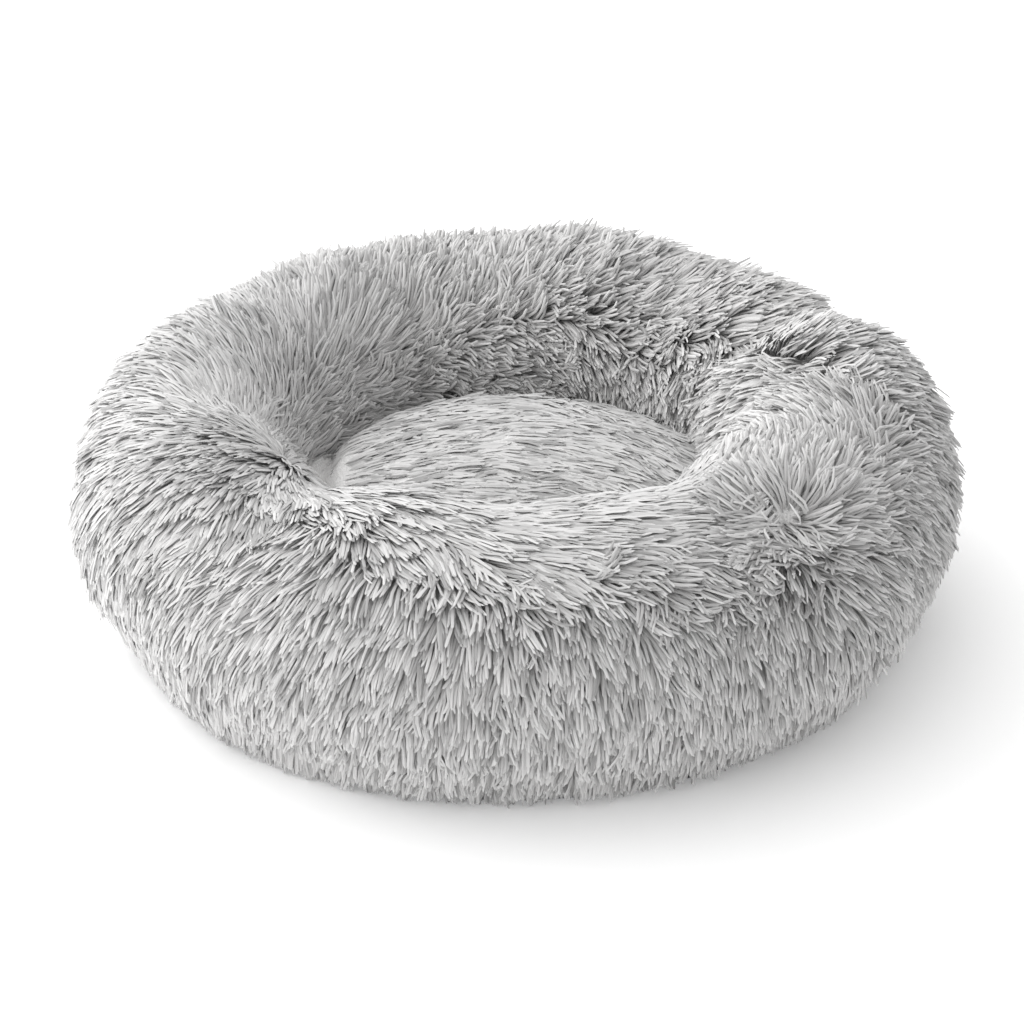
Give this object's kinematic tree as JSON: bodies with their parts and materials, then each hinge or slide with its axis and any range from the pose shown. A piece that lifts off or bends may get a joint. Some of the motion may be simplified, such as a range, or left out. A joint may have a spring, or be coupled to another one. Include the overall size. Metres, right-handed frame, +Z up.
{
  "type": "pet cushion bed",
  "caption": "Round plush pet bed: a long-pile ring bolster around a crowned sleeping mat, on a grip-dotted base cloth with a zip.",
  "frame": {"origin": "on the floor, under the middle of the bed", "axes": "+Z up; +X along the zip under the base, from its open end to its closed end; +Y towards the back"},
  "size_m": [0.5919, 0.592, 0.186],
  "materials": {
    "long_pile_fur": "matte",
    "mat_fur": "matte",
    "inner_bag": "matte",
    "fibre_filling": "matte",
    "base_cloth": "matte",
    "grip_dots": "satin",
    "zip_tape": "matte",
    "zip_teeth": "satin",
    "zip_metal": "satin",
    "thread": "satin",
    "seam_thread": "satin"
  },
  "bodies": {
    "bed": {"bolster_fur_cover": "long_pile_fur", "mat_fur_cover": "mat_fur", "bolster_liner": "inner_bag", "bolster_fill": "fibre_filling", "mat_liner": "inner_bag", "mat_fill": "fibre_filling", "base_panel_front": "base_cloth", "base_panel_rear": "base_cloth", "zip_strip_front": "base_cloth", "zip_strip_rear": "base_cloth", "zip_tape_front": "zip_tape", "zip_tape_rear": "zip_tape", "zip_coil_front": "zip_teeth", "zip_coil_rear": "zip_teeth", "zip_top_stops": "zip_metal", "zip_bottom_stop": "zip_metal", "zip_end_tacks": "thread", "base_stitching": "thread", "mat_seam": "seam_thread", "zip_stitching": "thread", "strip_stitching": "thread", "bolster_closing_seam": "seam_thread"},
    "slider": {"zip_slider": "zip_metal"},
    "pull_tab": {"zip_pull_tab": "zip_metal"}
  },
  "joints": [
    {"name": "zip_slide", "type": "slide", "parent": "bed", "child": "slider", "axis": [-1, 0, 0], "range_m": [0, 0.197]},
    {"name": "tab_hinge", "type": "hinge", "parent": "slider", "child": "pull_tab", "pos_m": [0.099, 0, 0.0046], "axis": [0, -1, 0], "range_deg": [-8, 172]}
  ]
}
